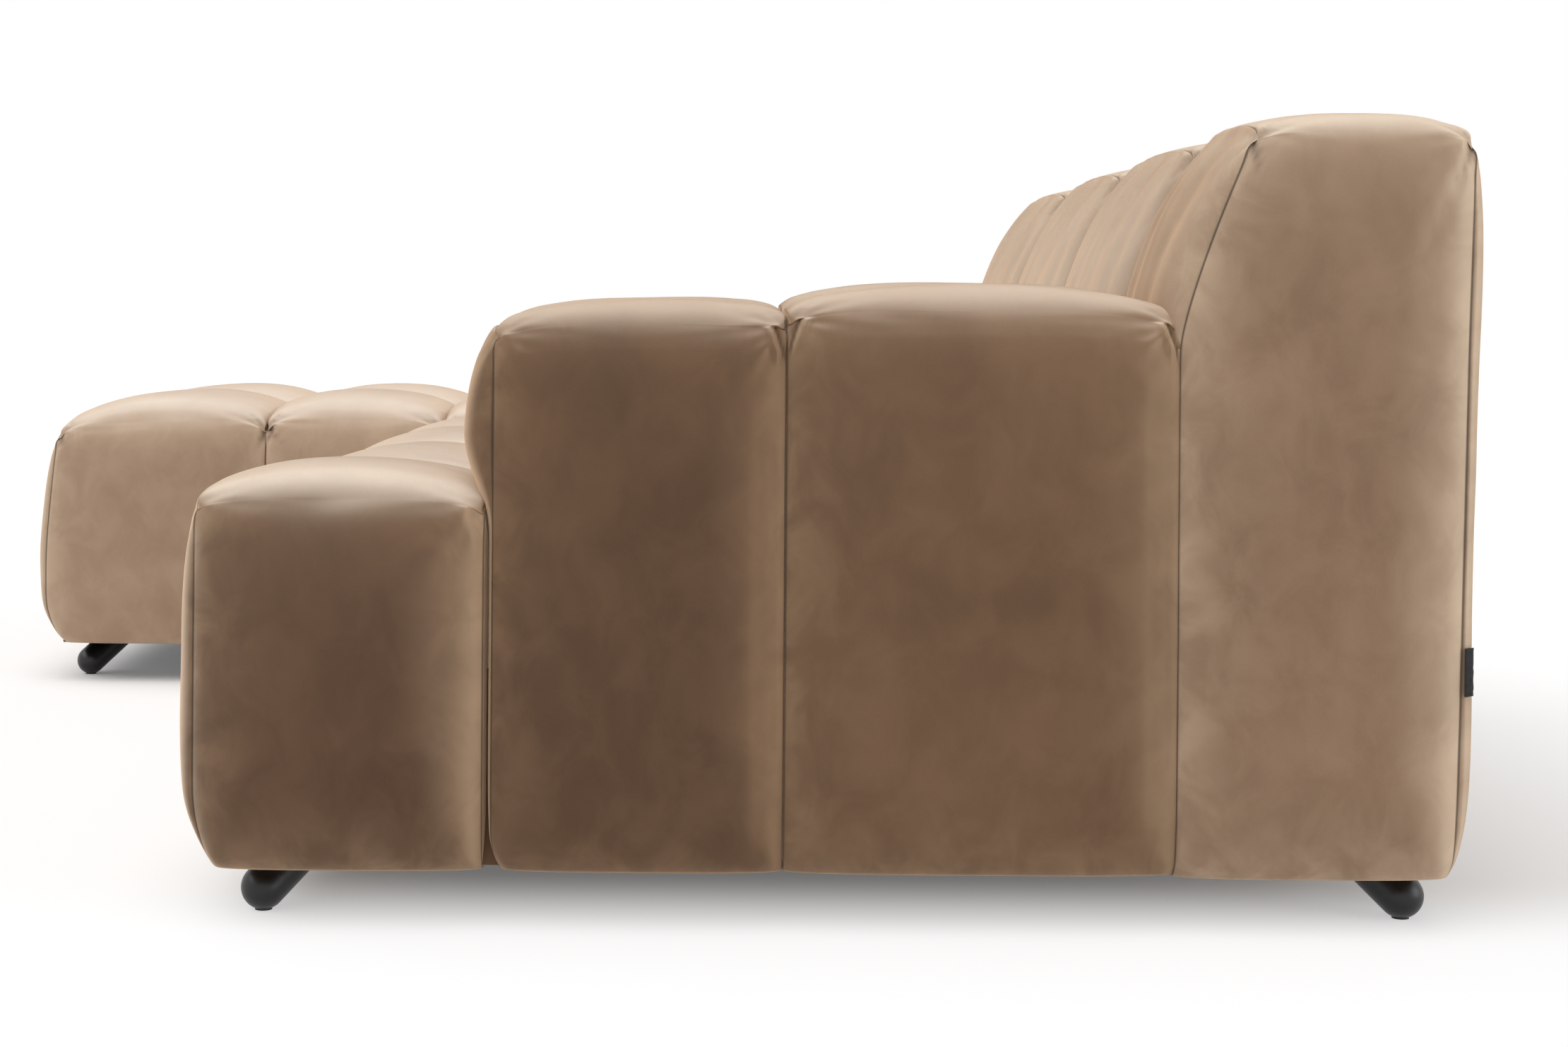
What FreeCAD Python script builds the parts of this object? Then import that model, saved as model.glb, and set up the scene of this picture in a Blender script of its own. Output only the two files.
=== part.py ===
import FreeCAD, Part
import math
import os
from types import SimpleNamespace

import Sketcher
from FreeCAD import Vector

# Counts
SEAT_COLUMNS = 3
CHAISE_COLUMNS = 2
CHAISE_REAR_ROWS = 5
SEAT_WARP_STRAPS = 12
SEAT_WEFT_STRAPS = 4
CHAISE_WARP_STRAPS = 5
CHAISE_WEFT_STRAPS = 10
BACK_STRAPS = 3
CHAISE_CROSS_RAILS = 2
LINK_BARS = 2

# Driving dimensions, in millimetres and degrees
DIMENSIONS = {
    "arm_width": 300,
    "seat_column_width": 450,
    "chaise_column_width": 450,
    "sofa_depth": 1231,
    "chaise_reach": 564,
    "chaise_front_row": 362,
    "arm_setback": 268,
    "arm_front_length": 303,
    "back_depth": 285,
    "back_lean": 58,
    "back_lean_start": 590,
    "underside_height": 60,
    "seat_height": 440,
    "seat_foam": 190,
    "chaise_height": 466,
    "arm_front_height": 606,
    "arm_rear_height": 622,
    "arm_top_foam": 56,
    "back_height": 790,
    "back_top_foam": 75,
    "soft_gap": 2,
    "seam_draw": 14,
    "seat_seam_depth": 30,
    "chaise_seam_depth": 36,
    "arm_seam_depth": 28,
    "back_seam_depth": 22,
    "seat_shoulder": 45,
    "arm_shoulder": 60,
    "back_shoulder": 40,
    "crown_rise": 16,
    "side_pad": 45,
    "arm_inner_pad": 60,
    "back_front_pad": 75,
    "frame_clearance": 1,
    "rail_thickness": 22,
    "arm_board": 15,
    "upright_thickness": 22,
    "rear_panel_thickness": 4,
    "strap_width": 70,
    "strap_thickness": 2,
    "felt_thickness": 3,
    "block_height": 60,
    "block_margin": 5,
    "foot_diameter": 44.8,
    "foot_slope": 36,
    "foot_inset_side": 110,
    "foot_off_arm_rail": 107,
    "foot_inset_front": 62,
    "foot_inset_rear": 46,
    "glide_diameter": 17,
    "glide_thickness": 2,
    "plate_width": 76,
    "plate_offset": 18,
    "plate_thickness": 3,
    "screw_spread": 22,
    "screw_diameter": 4.5,
    "screw_length": 30,
    "screw_head_diameter": 9,
    "screw_head_thickness": 2.2,
    "screw_clearance": 0.4,
    "screw_tip_room": 1,
    "link_length": 180,
    "link_width": 40,
    "dust_cover_thickness": 1,
    "label_height": 46,
    "label_width": 11,
    "label_thickness": 1.5,
    "label_base_height": 232,
}

# How far a cushion swells between two seams, as (share of the way, share of full height)
SWELL = ((0.16, 0.72), (0.5, 1.0), (0.84, 0.72))
# The stitched valley between the two rolls of the arm keeps this share of the swell
ARM_VALLEY = 0.45
# Share of the lean that the back has taken half-way up its leaning face
LEAN_HALF_WAY = 0.36
# Half width of the slab that cuts a foot level, in foot diameters
LEVEL_REACH = 6

doc = FreeCAD.newDocument("lounge_sofa")
sheet = doc.addObject("Spreadsheet::Sheet", "Sizes")
nodes = []


class Size:
    """A length held as a sheet expression, for bound pieces, and as a number, for lofted ones."""

    def __init__(self, text, value):
        self.text = text
        self.value = value

    def joined(self, sign, other, value):
        text = other.text if isinstance(other, Size) else repr(other)
        return Size(f"({self.text} {sign} {text})", value)

    def __add__(self, other):
        return self.joined("+", other, self.value + number(other))

    def __sub__(self, other):
        return self.joined("-", other, self.value - number(other))

    def __mul__(self, other):
        return self.joined("*", other, self.value * number(other))

    def __truediv__(self, other):
        return self.joined("/", other, self.value / number(other))


def number(item):
    return item.value if isinstance(item, Size) else item


def fill_sheet():
    """Write every driving dimension into the sheet and return them by name."""
    names = SimpleNamespace()
    for row, (alias, value) in enumerate(DIMENSIONS.items(), start=1):
        sheet.set(f"A{row}", alias)
        sheet.set(f"B{row}", str(value))
        sheet.setAlias(f"B{row}", alias)
        setattr(names, alias, Size(f"Sizes.{alias}", value))
    doc.recompute()
    return names


size = fill_sheet()

# Main planes along the length, from the chaise's far side to the arm's outer side
length = (size.arm_width + size.seat_column_width * SEAT_COLUMNS
          + size.chaise_column_width * CHAISE_COLUMNS)
arm_side = length / 2
arm_inner = arm_side - size.arm_width
sofa_end = arm_inner - size.seat_column_width * SEAT_COLUMNS
far_side = length / -2

# Main planes along the depth, from the chaise's front to the rear of the back
depth = size.sofa_depth + size.chaise_reach
chaise_front = depth / -2
seat_front = chaise_front + size.chaise_reach
arm_front = seat_front + size.arm_setback
arm_seam = arm_front + size.arm_front_length
rear = depth / 2
back_front = rear - size.back_depth

# Outer faces of the timber frames, inside the padding
frame_inset = size.side_pad + size.frame_clearance
sofa_low_x = sofa_end + frame_inset
sofa_high_x = arm_side - frame_inset
sofa_low_y = seat_front + frame_inset
frame_rear = rear - frame_inset
chaise_low_x = far_side + frame_inset
chaise_high_x = sofa_end - frame_inset
chaise_low_y = chaise_front + frame_inset
arm_core_x = arm_inner + size.arm_inner_pad + size.frame_clearance
arm_core_y = arm_front + frame_inset
back_core_y = back_front + size.back_front_pad + size.frame_clearance

# Heights of the frame
floor_level = Size("0", 0)
rail_bottom = size.underside_height
deck_level = size.seat_height - size.seat_foam
arm_frame_top = size.arm_front_height - size.arm_top_foam
back_frame_top = size.back_height - size.back_top_foam
deck_top = deck_level - size.frame_clearance
felt_bottom = deck_top - size.felt_thickness
rail_top = felt_bottom - size.strap_thickness * 2
plate_bottom = rail_bottom - size.plate_thickness


def keep(piece):
    """Count a finished object as one sub-part."""
    nodes.append(piece)
    return piece


def board(label, x_span, y_span, z_span):
    """A box between three pairs of planes, all bound to the sheet."""
    piece = doc.addObject("Part::Box", label)
    spans = (("Length", "x", x_span), ("Width", "y", y_span), ("Height", "z", z_span))
    for name, axis, (low, high) in spans:
        piece.setExpression(name, (high - low).text)
        piece.setExpression(f"Placement.Base.{axis}", low.text)
    return piece


def rod(label, diameter, x, y, z_span):
    """An upright cylinder bound to the sheet."""
    low, high = z_span
    piece = doc.addObject("Part::Cylinder", label)
    piece.setExpression("Radius", (diameter / 2).text)
    piece.setExpression("Height", (high - low).text)
    for axis, value in (("x", x), ("y", y), ("z", low)):
        piece.setExpression(f"Placement.Base.{axis}", value.text)
    return piece


def group(label, pieces):
    """Several separate solids under one name."""
    piece = doc.addObject("Part::Compound", label)
    piece.Links = pieces
    return piece


def cut(label, base, tools):
    """A piece with holes or notches taken out of it."""
    piece = doc.addObject("Part::Cut", label)
    piece.Base = base
    piece.Tool = group(f"{label}_holes", tools)
    return piece


def evenly(low, high, count):
    """Middles of equal shares of a span."""
    step = (high - low) / count
    return [low + step * (index + 0.5) for index in range(count)]


# Padding

def at_point(along, station, across, up):
    """A point on a section that stands square to X or to Y."""
    if along == "x":
        return Vector(station, across, up)
    return Vector(across, station, up)


def corner_middle(centre_across, centre_up, radius, side):
    """Middle of a quarter-round shoulder on the given side."""
    reach = radius * math.sqrt(0.5)
    return centre_across + side * reach, centre_up + reach


def crowned_section(along, station, low, high, crest, shoulder):
    """Outline of a padded block: flat base, straight sides, round shoulders, arched top."""
    base = size.underside_height.value
    top = crest - size.crown_rise.value
    hip = top - shoulder

    def point(across, up):
        return at_point(along, station, across, up)

    right = point(*corner_middle(high - shoulder, hip, shoulder, 1))
    left = point(*corner_middle(low + shoulder, hip, shoulder, -1))
    crown = point((low + high) / 2, crest)
    edges = [
        Part.LineSegment(point(low, base), point(high, base)),
        Part.LineSegment(point(high, base), point(high, hip)),
        Part.Arc(point(high, hip), right, point(high - shoulder, top)),
        Part.Arc(point(high - shoulder, top), crown, point(low + shoulder, top)),
        Part.Arc(point(low + shoulder, top), left, point(low, hip)),
        Part.LineSegment(point(low, hip), point(low, base)),
    ]
    return Part.Wire([edge.toShape() for edge in edges])


def back_section(station, inset, drop):
    """Outline of the back: upright below, leaning away above, with a round top."""
    shoulder = size.back_shoulder.value
    base = size.underside_height.value
    crest = size.back_height.value - drop
    top = crest - size.crown_rise.value
    hip = top - shoulder
    front = back_front.value + inset
    behind = rear.value - inset
    lip = front + size.back_lean.value
    knee = size.back_lean_start.value

    def point(across, up):
        return Vector(station, across, up)

    lean_middle = point(front + size.back_lean.value * LEAN_HALF_WAY, (knee + hip) / 2)
    front_round = point(*corner_middle(lip + shoulder, hip, shoulder, -1))
    rear_round = point(*corner_middle(behind - shoulder, hip, shoulder, 1))
    crown = point((lip + behind) / 2, crest)
    edges = [
        Part.LineSegment(point(front, base), point(behind, base)),
        Part.LineSegment(point(behind, base), point(behind, hip)),
        Part.Arc(point(behind, hip), rear_round, point(behind - shoulder, top)),
        Part.Arc(point(behind - shoulder, top), crown, point(lip + shoulder, top)),
        Part.Arc(point(lip + shoulder, top), front_round, point(lip, hip)),
        Part.Arc(point(lip, hip), lean_middle, point(front, knee)),
        Part.LineSegment(point(front, knee), point(front, base)),
    ]
    return Part.Wire([edge.toShape() for edge in edges])


def swollen(start, end, start_swell=0.0, end_swell=0.0):
    """Places across one cushion, each with how far the cover has swollen there."""
    places = [(start, start_swell)]
    for share, swell in SWELL:
        floor = start_swell if share < 0.5 else end_swell
        places.append((start + (end - start) * share, floor + (1.0 - floor) * swell))
    return places + [(end, end_swell)]


def space(x_span, y_span, top):
    """Room for a frame inside the padding, open at the bottom."""
    room = size.frame_clearance.value
    low_x = x_span[0].value - room
    low_y = y_span[0].value - room
    wide = x_span[1].value + room - low_x
    deep = y_span[1].value + room - low_y
    return Part.makeBox(wide, deep, top.value + room, Vector(low_x, low_y, 0))


SOFA_SPACES = [
    space((sofa_low_x, sofa_high_x), (sofa_low_y, frame_rear), deck_top),
    space((arm_core_x, sofa_high_x), (arm_core_y, frame_rear), arm_frame_top),
    space((sofa_low_x, sofa_high_x), (back_core_y, frame_rear), back_frame_top),
]
CHAISE_SPACES = [space((chaise_low_x, chaise_high_x), (chaise_low_y, frame_rear), deck_top)]


def padding(label, cushions, spaces):
    """Lofted cushions sewn together at their seams and hollowed for the frame inside."""
    lofts = [Part.makeLoft(sections, True, False) for sections in cushions]
    shape = lofts[0].fuse(lofts[1:]) if len(lofts) > 1 else lofts[0]
    for room in spaces:
        shape = shape.cut(room)
    piece = doc.addObject("Part::Feature", label)
    piece.Shape = shape.Solids[0] if len(shape.Solids) == 1 else shape
    return keep(piece)


def room_beside(plane):
    """Half the gap to a neighbour, or none where the block is the outermost one."""
    outermost = any(math.isclose(plane.value, side.value) for side in (far_side, arm_side))
    return 0.0 if outermost else size.soft_gap.value / 2


def column(label, x_span, seams, crest, seam_depth, spaces):
    """A seat or chaise column: cushions in a row along the depth, with seams between them."""
    low = x_span[0].value + room_beside(x_span[0])
    high = x_span[1].value - room_beside(x_span[1])
    places = [seam.value for seam in seams]
    if seams[-1] is not rear:
        places[-1] -= size.soft_gap.value
    cushions = []
    for start, end in zip(places, places[1:]):
        sections = []
        for station, swell in swollen(start, end):
            inset = size.seam_draw.value * (1.0 - swell)
            height = crest.value - seam_depth.value * (1.0 - swell)
            sections.append(crowned_section("y", station, low + inset, high - inset, height,
                                            size.seat_shoulder.value))
        cushions.append(sections)
    return padding(label, cushions, spaces)


def make_seat():
    block = "seat_padding_arm_column"
    column(block, (arm_inner, arm_side), [seat_front, arm_front], size.seat_height,
           size.seat_seam_depth, SOFA_SPACES)
    for index in range(SEAT_COLUMNS):
        high = arm_inner - size.seat_column_width * index
        span = (high - size.seat_column_width, high)
        column(f"seat_padding_column_{index + 1}", span,
               [seat_front, arm_front, arm_seam, back_front], size.seat_height,
               size.seat_seam_depth, SOFA_SPACES)


def make_chaise_padding():
    first = chaise_front + size.chaise_front_row
    step = (rear - first) / CHAISE_REAR_ROWS
    seams = [chaise_front] + [first + step * index for index in range(CHAISE_REAR_ROWS)] + [rear]
    for index in range(CHAISE_COLUMNS):
        high = sofa_end - size.chaise_column_width * index
        span = (high - size.chaise_column_width, high)
        column(f"chaise_padding_column_{index + 1}", span, seams, size.chaise_height,
               size.chaise_seam_depth, CHAISE_SPACES)


def make_arm_padding():
    half_gap = size.soft_gap.value / 2
    middle = (arm_inner + size.arm_width / 2).value
    rolls = (
        swollen(arm_inner.value + half_gap, middle, end_swell=ARM_VALLEY),
        swollen(middle, arm_side.value, start_swell=ARM_VALLEY),
    )
    parts = (
        ("arm_padding_front", arm_front, arm_seam, size.arm_front_height),
        ("arm_padding_rear", arm_seam, back_front, size.arm_rear_height),
    )
    for label, front, behind, crest in parts:
        cushions = []
        for roll in rolls:
            sections = []
            for station, swell in roll:
                inset = size.seam_draw.value * (1.0 - swell) + half_gap
                height = crest.value - size.arm_seam_depth.value * (1.0 - swell)
                sections.append(crowned_section("x", station, front.value + inset,
                                                behind.value - inset, height,
                                                size.arm_shoulder.value))
            cushions.append(sections)
        padding(label, cushions, SOFA_SPACES)


def make_back_padding():
    edges = [arm_side, arm_inner]
    edges += [arm_inner - size.seat_column_width * (index + 1) for index in range(SEAT_COLUMNS)]
    for index, (high, low) in enumerate(zip(edges, edges[1:])):
        start = low.value + room_beside(low)
        end = high.value - room_beside(high)
        sections = []
        for station, swell in swollen(start, end):
            inset = size.seam_draw.value * (1.0 - swell)
            drop = size.back_seam_depth.value * (1.0 - swell)
            sections.append(back_section(station, inset, drop))
        padding(f"back_padding_channel_{index + 1}", [sections], SOFA_SPACES)


# Timber frames

def make_sofa_base():
    rail = size.rail_thickness
    height = (rail_bottom, rail_top)
    x_span = (sofa_low_x, sofa_high_x)
    inner_y = (sofa_low_y + rail, frame_rear - rail)
    keep(board("sofa_front_rail", x_span, (sofa_low_y, sofa_low_y + rail), height))
    keep(board("sofa_rear_rail", x_span, (frame_rear - rail, frame_rear), height))
    keep(board("sofa_arm_end_rail", (sofa_high_x - rail, sofa_high_x), inner_y, height))
    keep(board("sofa_arm_rail", (arm_core_x, arm_core_x + rail), inner_y, height))
    end_rail = board("sofa_chaise_end_board", (sofa_low_x, sofa_low_x + rail), inner_y, height)
    keep(cut("sofa_chaise_end_rail", end_rail, link_holes("sofa_link_hole", sofa_low_x + rail / 2)))
    back_rail = (back_core_y, back_core_y + rail)
    keep(board("seat_rear_rail", (sofa_low_x + rail, arm_core_x), back_rail, height))
    cross = []
    for index in range(1, SEAT_COLUMNS):
        x = arm_inner - size.seat_column_width * index
        cross.append(board(f"seat_cross_rail_{index}", (x - rail / 2, x + rail / 2),
                           (sofa_low_y + rail, back_core_y), height))
    keep(group("seat_cross_rails", cross))


def make_chaise_base():
    rail = size.rail_thickness
    height = (rail_bottom, rail_top)
    x_span = (chaise_low_x, chaise_high_x)
    inner_y = (chaise_low_y + rail, frame_rear - rail)
    keep(board("chaise_front_rail", x_span, (chaise_low_y, chaise_low_y + rail), height))
    keep(board("chaise_rear_rail", x_span, (frame_rear - rail, frame_rear), height))
    keep(board("chaise_far_rail", (chaise_low_x, chaise_low_x + rail), inner_y, height))
    near = board("chaise_sofa_side_board", (chaise_high_x - rail, chaise_high_x), inner_y, height)
    keep(cut("chaise_sofa_side_rail", near, link_holes("chaise_link_hole", chaise_high_x - rail / 2)))
    cross = []
    for index in range(CHAISE_CROSS_RAILS):
        share = (index + 1) / (CHAISE_CROSS_RAILS + 1)
        y = chaise_low_y + (frame_rear - chaise_low_y) * share
        cross.append(board(f"chaise_cross_rail_{index + 1}",
                           (chaise_low_x + rail, chaise_high_x - rail),
                           (y - rail / 2, y + rail / 2), height))
    keep(group("chaise_cross_rails", cross))


def make_arm_frame():
    panel = size.arm_board
    front = arm_core_y
    behind = back_core_y
    height = (rail_top, arm_frame_top - panel)
    inner = arm_core_x + panel
    outer = sofa_high_x - panel
    keep(board("arm_outer_board", (outer, sofa_high_x), (front, behind), height))
    keep(board("arm_inner_board", (arm_core_x, inner), (front, behind), height))
    keep(board("arm_front_board", (inner, outer), (front, front + panel), height))
    keep(board("arm_rear_board", (inner, outer), (behind - panel, behind), height))
    keep(board("arm_top_board", (arm_core_x, sofa_high_x), (front, behind),
               (arm_frame_top - panel, arm_frame_top)))


def upright(label, x):
    """A plywood upright of the back, sketched in profile and padded to its thickness."""
    notch = size.rail_thickness
    web = size.strap_thickness
    base = rail_bottom + size.block_height
    deep = frame_rear - size.rear_panel_thickness - back_core_y
    tall = back_frame_top - size.upright_thickness - base
    ledge = rail_top - base
    foot_end = frame_rear - notch - back_core_y
    outline = [
        (notch, None), (foot_end, None), (foot_end, ledge), (deep, ledge),
        (deep, tall), (web, tall), (web, ledge), (notch, ledge),
    ]
    body = doc.addObject("PartDesign::Body", label)
    sketch = body.newObject("Sketcher::SketchObject", f"{label}_profile")
    plane = [item for item in body.Origin.OriginFeatures if item.Role == "YZ_Plane"][0]
    sketch.AttachmentSupport = [(plane, "")]
    sketch.MapMode = "FlatFace"
    corners = [Vector(number(u), number(v) if v else 0, 0) for u, v in outline]
    for index, corner in enumerate(corners):
        following = corners[(index + 1) % len(corners)]
        sketch.addGeometry(Part.LineSegment(corner, following))
    for index in range(len(corners)):
        sketch.addConstraint(Sketcher.Constraint("Coincident", index, 2,
                                                 (index + 1) % len(corners), 1))
    for index, (u, v) in enumerate(outline):
        place = sketch.addConstraint(Sketcher.Constraint("DistanceX", -1, 1, index, 1, number(u)))
        sketch.setExpression(f"Constraints[{place}]", u.text)
        if v is None:
            sketch.addConstraint(Sketcher.Constraint("PointOnObject", index, 1, -1))
            continue
        place = sketch.addConstraint(Sketcher.Constraint("DistanceY", -1, 1, index, 1, number(v)))
        sketch.setExpression(f"Constraints[{place}]", v.text)
    pad = body.newObject("PartDesign::Pad", f"{label}_pad")
    pad.Profile = sketch
    pad.setExpression("Length", size.upright_thickness.text)
    body.Tip = pad
    for axis, value in (("x", x), ("y", back_core_y), ("z", base)):
        body.setExpression(f"Placement.Base.{axis}", value.text)
    return keep(body)


def make_back_frame():
    thick = size.upright_thickness
    rail = size.rail_thickness
    places = [sofa_high_x - rail - thick]
    places += [arm_inner - size.seat_column_width * index - thick / 2 for index in range(SEAT_COLUMNS)]
    places.append(sofa_low_x + rail)
    for index, x in enumerate(places):
        upright(f"back_upright_{index + 1}", x)
    keep(board("back_top_rail", (sofa_low_x, sofa_high_x), (back_core_y, frame_rear),
               (back_frame_top - thick, back_frame_top)))
    keep(board("back_rear_panel", (sofa_low_x, sofa_high_x),
               (frame_rear - size.rear_panel_thickness, frame_rear),
               (rail_top, back_frame_top - thick)))
    straps = []
    low = deck_level + size.strap_width
    for index, z in enumerate(evenly(low, back_frame_top - thick, BACK_STRAPS)):
        straps.append(board(f"back_strap_{index + 1}", (sofa_low_x + rail, arm_core_x),
                            (back_core_y, back_core_y + size.strap_thickness),
                            (z - size.strap_width / 2, z + size.strap_width / 2)))
    keep(group("back_webbing", straps))


# Suspension

def webbing(label, x_span, y_span, warp_straps, weft_straps):
    """Warp straps along the depth with weft straps along the length laid over them."""
    half = size.strap_width / 2
    middle = rail_top + size.strap_thickness
    straps = []
    for index, x in enumerate(evenly(x_span[0], x_span[1], warp_straps)):
        straps.append(board(f"{label}_warp_{index + 1}", (x - half, x + half), y_span,
                            (rail_top, middle)))
    for index, y in enumerate(evenly(y_span[0], y_span[1], weft_straps)):
        straps.append(board(f"{label}_weft_{index + 1}", x_span, (y - half, y + half),
                            (middle, felt_bottom)))
    keep(group(label, straps))


def make_suspension():
    seat_x = (sofa_low_x, arm_core_x)
    seat_y = (sofa_low_y, back_core_y)
    webbing("seat_webbing", seat_x, seat_y, SEAT_WARP_STRAPS, SEAT_WEFT_STRAPS)
    keep(board("seat_deck_felt", seat_x, seat_y, (felt_bottom, deck_top)))
    chaise_x = (chaise_low_x, chaise_high_x)
    chaise_y = (chaise_low_y, frame_rear)
    webbing("chaise_webbing", chaise_x, chaise_y, CHAISE_WARP_STRAPS, CHAISE_WEFT_STRAPS)
    keep(board("chaise_deck_felt", chaise_x, chaise_y, (felt_bottom, deck_top)))


# Feet and fastenings

arm_feet_x = arm_core_x + size.rail_thickness + size.foot_off_arm_rail

# Each module's name, its two side planes, its front plane and the row of its right feet
MODULES = (
    ("sofa", sofa_end, arm_side, seat_front, arm_feet_x),
    ("chaise", far_side, sofa_end, chaise_front, sofa_end - size.foot_inset_side),
)
foot_rise = plate_bottom.value - size.foot_diameter.value / 2
foot_run = foot_rise / math.tan(math.radians(size.foot_slope.value))
plate_shift = size.plate_offset.value + foot_run * math.sqrt(0.5)


def foot_corners(low_x, right_x, front):
    """The four feet of a module: name, place of the ball and the outward direction."""
    sides = (("left", low_x + size.foot_inset_side, -1), ("right", right_x, 1))
    ends = (("front", front, -1, size.foot_inset_front), ("rear", rear, 1, size.foot_inset_rear))
    for side, x, out_x in sides:
        for end, face_y, out_y, inset in ends:
            y = face_y - inset * out_y
            yield f"{end}_{side}", x, y, out_x, out_y


def foot(label, x, y, out_x, out_y):
    """A splayed round foot with a ball end, cut level under its plate and over its glide."""
    slope = math.radians(size.foot_slope.value)
    flat = math.cos(slope) * math.sqrt(0.5)
    direction = Vector(-out_x * flat, -out_y * flat, math.sin(slope))
    turn = FreeCAD.Rotation(Vector(0, 0, 1), direction)
    radius = size.foot_diameter / 2
    leg = doc.addObject("Part::Cylinder", f"{label}_leg")
    leg.setExpression("Radius", radius.text)
    leg.Height = size.underside_height.value / math.sin(slope) + size.foot_diameter.value
    ball = doc.addObject("Part::Sphere", f"{label}_ball")
    ball.setExpression("Radius", radius.text)
    for piece in (leg, ball):
        piece.Placement = FreeCAD.Placement(Vector(0, 0, 0), turn)
        for axis, value in (("x", x), ("y", y), ("z", radius)):
            piece.setExpression(f"Placement.Base.{axis}", value.text)
    whole = doc.addObject("Part::Fuse", f"{label}_whole")
    whole.Base = leg
    whole.Tool = ball
    reach = size.foot_diameter * LEVEL_REACH
    level = board(f"{label}_level", (x - reach, x + reach), (y - reach, y + reach),
                  (size.glide_thickness, plate_bottom))
    piece = doc.addObject("Part::Common", label)
    piece.Base = whole
    piece.Tool = level
    return keep(piece)


def screw(label, x, y, head_top):
    """A pan-head screw driven upwards, with its head under the given level."""
    head = rod(f"{label}_head", size.screw_head_diameter, x, y,
               (head_top - size.screw_head_thickness, head_top))
    shank = rod(f"{label}_shank", size.screw_diameter, x, y, (head_top, head_top + size.screw_length))
    piece = doc.addObject("Part::Fuse", label)
    piece.Base = head
    piece.Tool = shank
    return piece


def screw_hole(label, x, y):
    """A hole for a screw through a plate and into the timber above it."""
    room = size.screw_diameter + size.screw_clearance
    tip = plate_bottom + size.screw_length + size.screw_tip_room
    return rod(label, room, x, y, (plate_bottom, tip))


def link_places():
    return evenly(sofa_low_y, frame_rear, LINK_BARS)


def link_holes(label, x):
    return [screw_hole(f"{label}_{index + 1}", x, y) for index, y in enumerate(link_places())]


def make_feet():
    plates, screws, glides = [], [], []
    rail = size.rail_thickness
    for module, low_x, high_x, front, right_x in MODULES:
        blocks = []
        for name, x, y, out_x, out_y in foot_corners(low_x, right_x, front):
            label = f"{module}_foot_{name}"
            foot(label, x, y, out_x, out_y)
            glides.append(rod(f"{label}_glide", size.glide_diameter, x, y,
                              (floor_level, size.glide_thickness)))
            plate_x = x - plate_shift * out_x
            plate_y = y - plate_shift * out_y
            spots = [(plate_x + size.screw_spread * (out_x * side),
                      plate_y - size.screw_spread * (out_y * side)) for side in (1, -1)]
            half = size.plate_width / 2
            blank = board(f"{label}_plate_blank", (plate_x - half, plate_x + half),
                          (plate_y - half, plate_y + half), (plate_bottom, rail_bottom))
            holes = [screw_hole(f"{label}_plate_hole_{index}", *spot)
                     for index, spot in enumerate(spots)]
            plates.append(cut(f"{label}_plate", blank, holes))
            screws += [screw(f"{label}_screw_{index}", *spot, plate_bottom)
                       for index, spot in enumerate(spots)]
            face_x = high_x if out_x > 0 else low_x
            face_y = rear if out_y > 0 else front
            near_x = face_x - (frame_inset + rail) * out_x
            near_y = face_y - (frame_inset + rail) * out_y
            far_x = plate_x - (half + size.block_margin) * out_x
            far_y = plate_y - (half + size.block_margin) * out_y
            x_span = (far_x, near_x) if out_x > 0 else (near_x, far_x)
            y_span = (far_y, near_y) if out_y > 0 else (near_y, far_y)
            solid = board(f"{label}_block_blank", x_span, y_span,
                          (rail_bottom, rail_bottom + size.block_height))
            holes = [screw_hole(f"{label}_block_hole_{index}", *spot)
                     for index, spot in enumerate(spots)]
            blocks.append(cut(f"{label}_block", solid, holes))
        keep(group(f"{module}_corner_blocks", blocks))
    keep(group("foot_plates", plates))
    keep(group("foot_plate_screws", screws))
    keep(group("foot_glides", glides))


def make_links():
    bars, screws = [], []
    half_length = size.link_length / 2
    half_width = size.link_width / 2
    rail = size.rail_thickness
    ends = (sofa_low_x + rail / 2, chaise_high_x - rail / 2)
    for index, y in enumerate(link_places()):
        blank = board(f"link_blank_{index + 1}", (sofa_end - half_length, sofa_end + half_length),
                      (y - half_width, y + half_width), (plate_bottom, rail_bottom))
        holes = [screw_hole(f"link_{index + 1}_hole_{side}", x, y) for side, x in enumerate(ends)]
        bars.append(cut(f"link_{index + 1}", blank, holes))
        screws += [screw(f"link_screw_{index + 1}_{side}", x, y, plate_bottom)
                   for side, x in enumerate(ends)]
    keep(group("module_link_bars", bars))
    keep(group("module_link_screws", screws))


def make_dust_covers():
    room = size.frame_clearance
    half = size.plate_width / 2 + room
    low_z = rail_bottom - size.dust_cover_thickness
    frames = {
        "sofa": (sofa_low_x, sofa_high_x, sofa_low_y),
        "chaise": (chaise_low_x, chaise_high_x, chaise_low_y),
    }
    for module, low_x, _, front, right_x in MODULES:
        frame_low_x, frame_high_x, frame_low_y = frames[module]
        blank = board(f"{module}_dust_sheet", (frame_low_x, frame_high_x),
                            (frame_low_y, frame_rear), (low_z, rail_bottom))
        notches = []
        for name, x, y, out_x, out_y in foot_corners(low_x, right_x, front):
            plate_x = x - plate_shift * out_x
            plate_y = y - plate_shift * out_y
            notches.append(board(f"{module}_notch_{name}", (plate_x - half, plate_x + half),
                                 (plate_y - half, plate_y + half), (plate_bottom, rail_bottom)))
        for index, y in enumerate(link_places()):
            reach = size.link_length / 2 + room
            wide = size.link_width / 2 + room
            notches.append(board(f"{module}_link_notch_{index + 1}",
                                 (sofa_end - reach, sofa_end + reach), (y - wide, y + wide),
                                 (plate_bottom, rail_bottom)))
        keep(cut(f"{module}_dust_cover", blank, notches))


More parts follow.
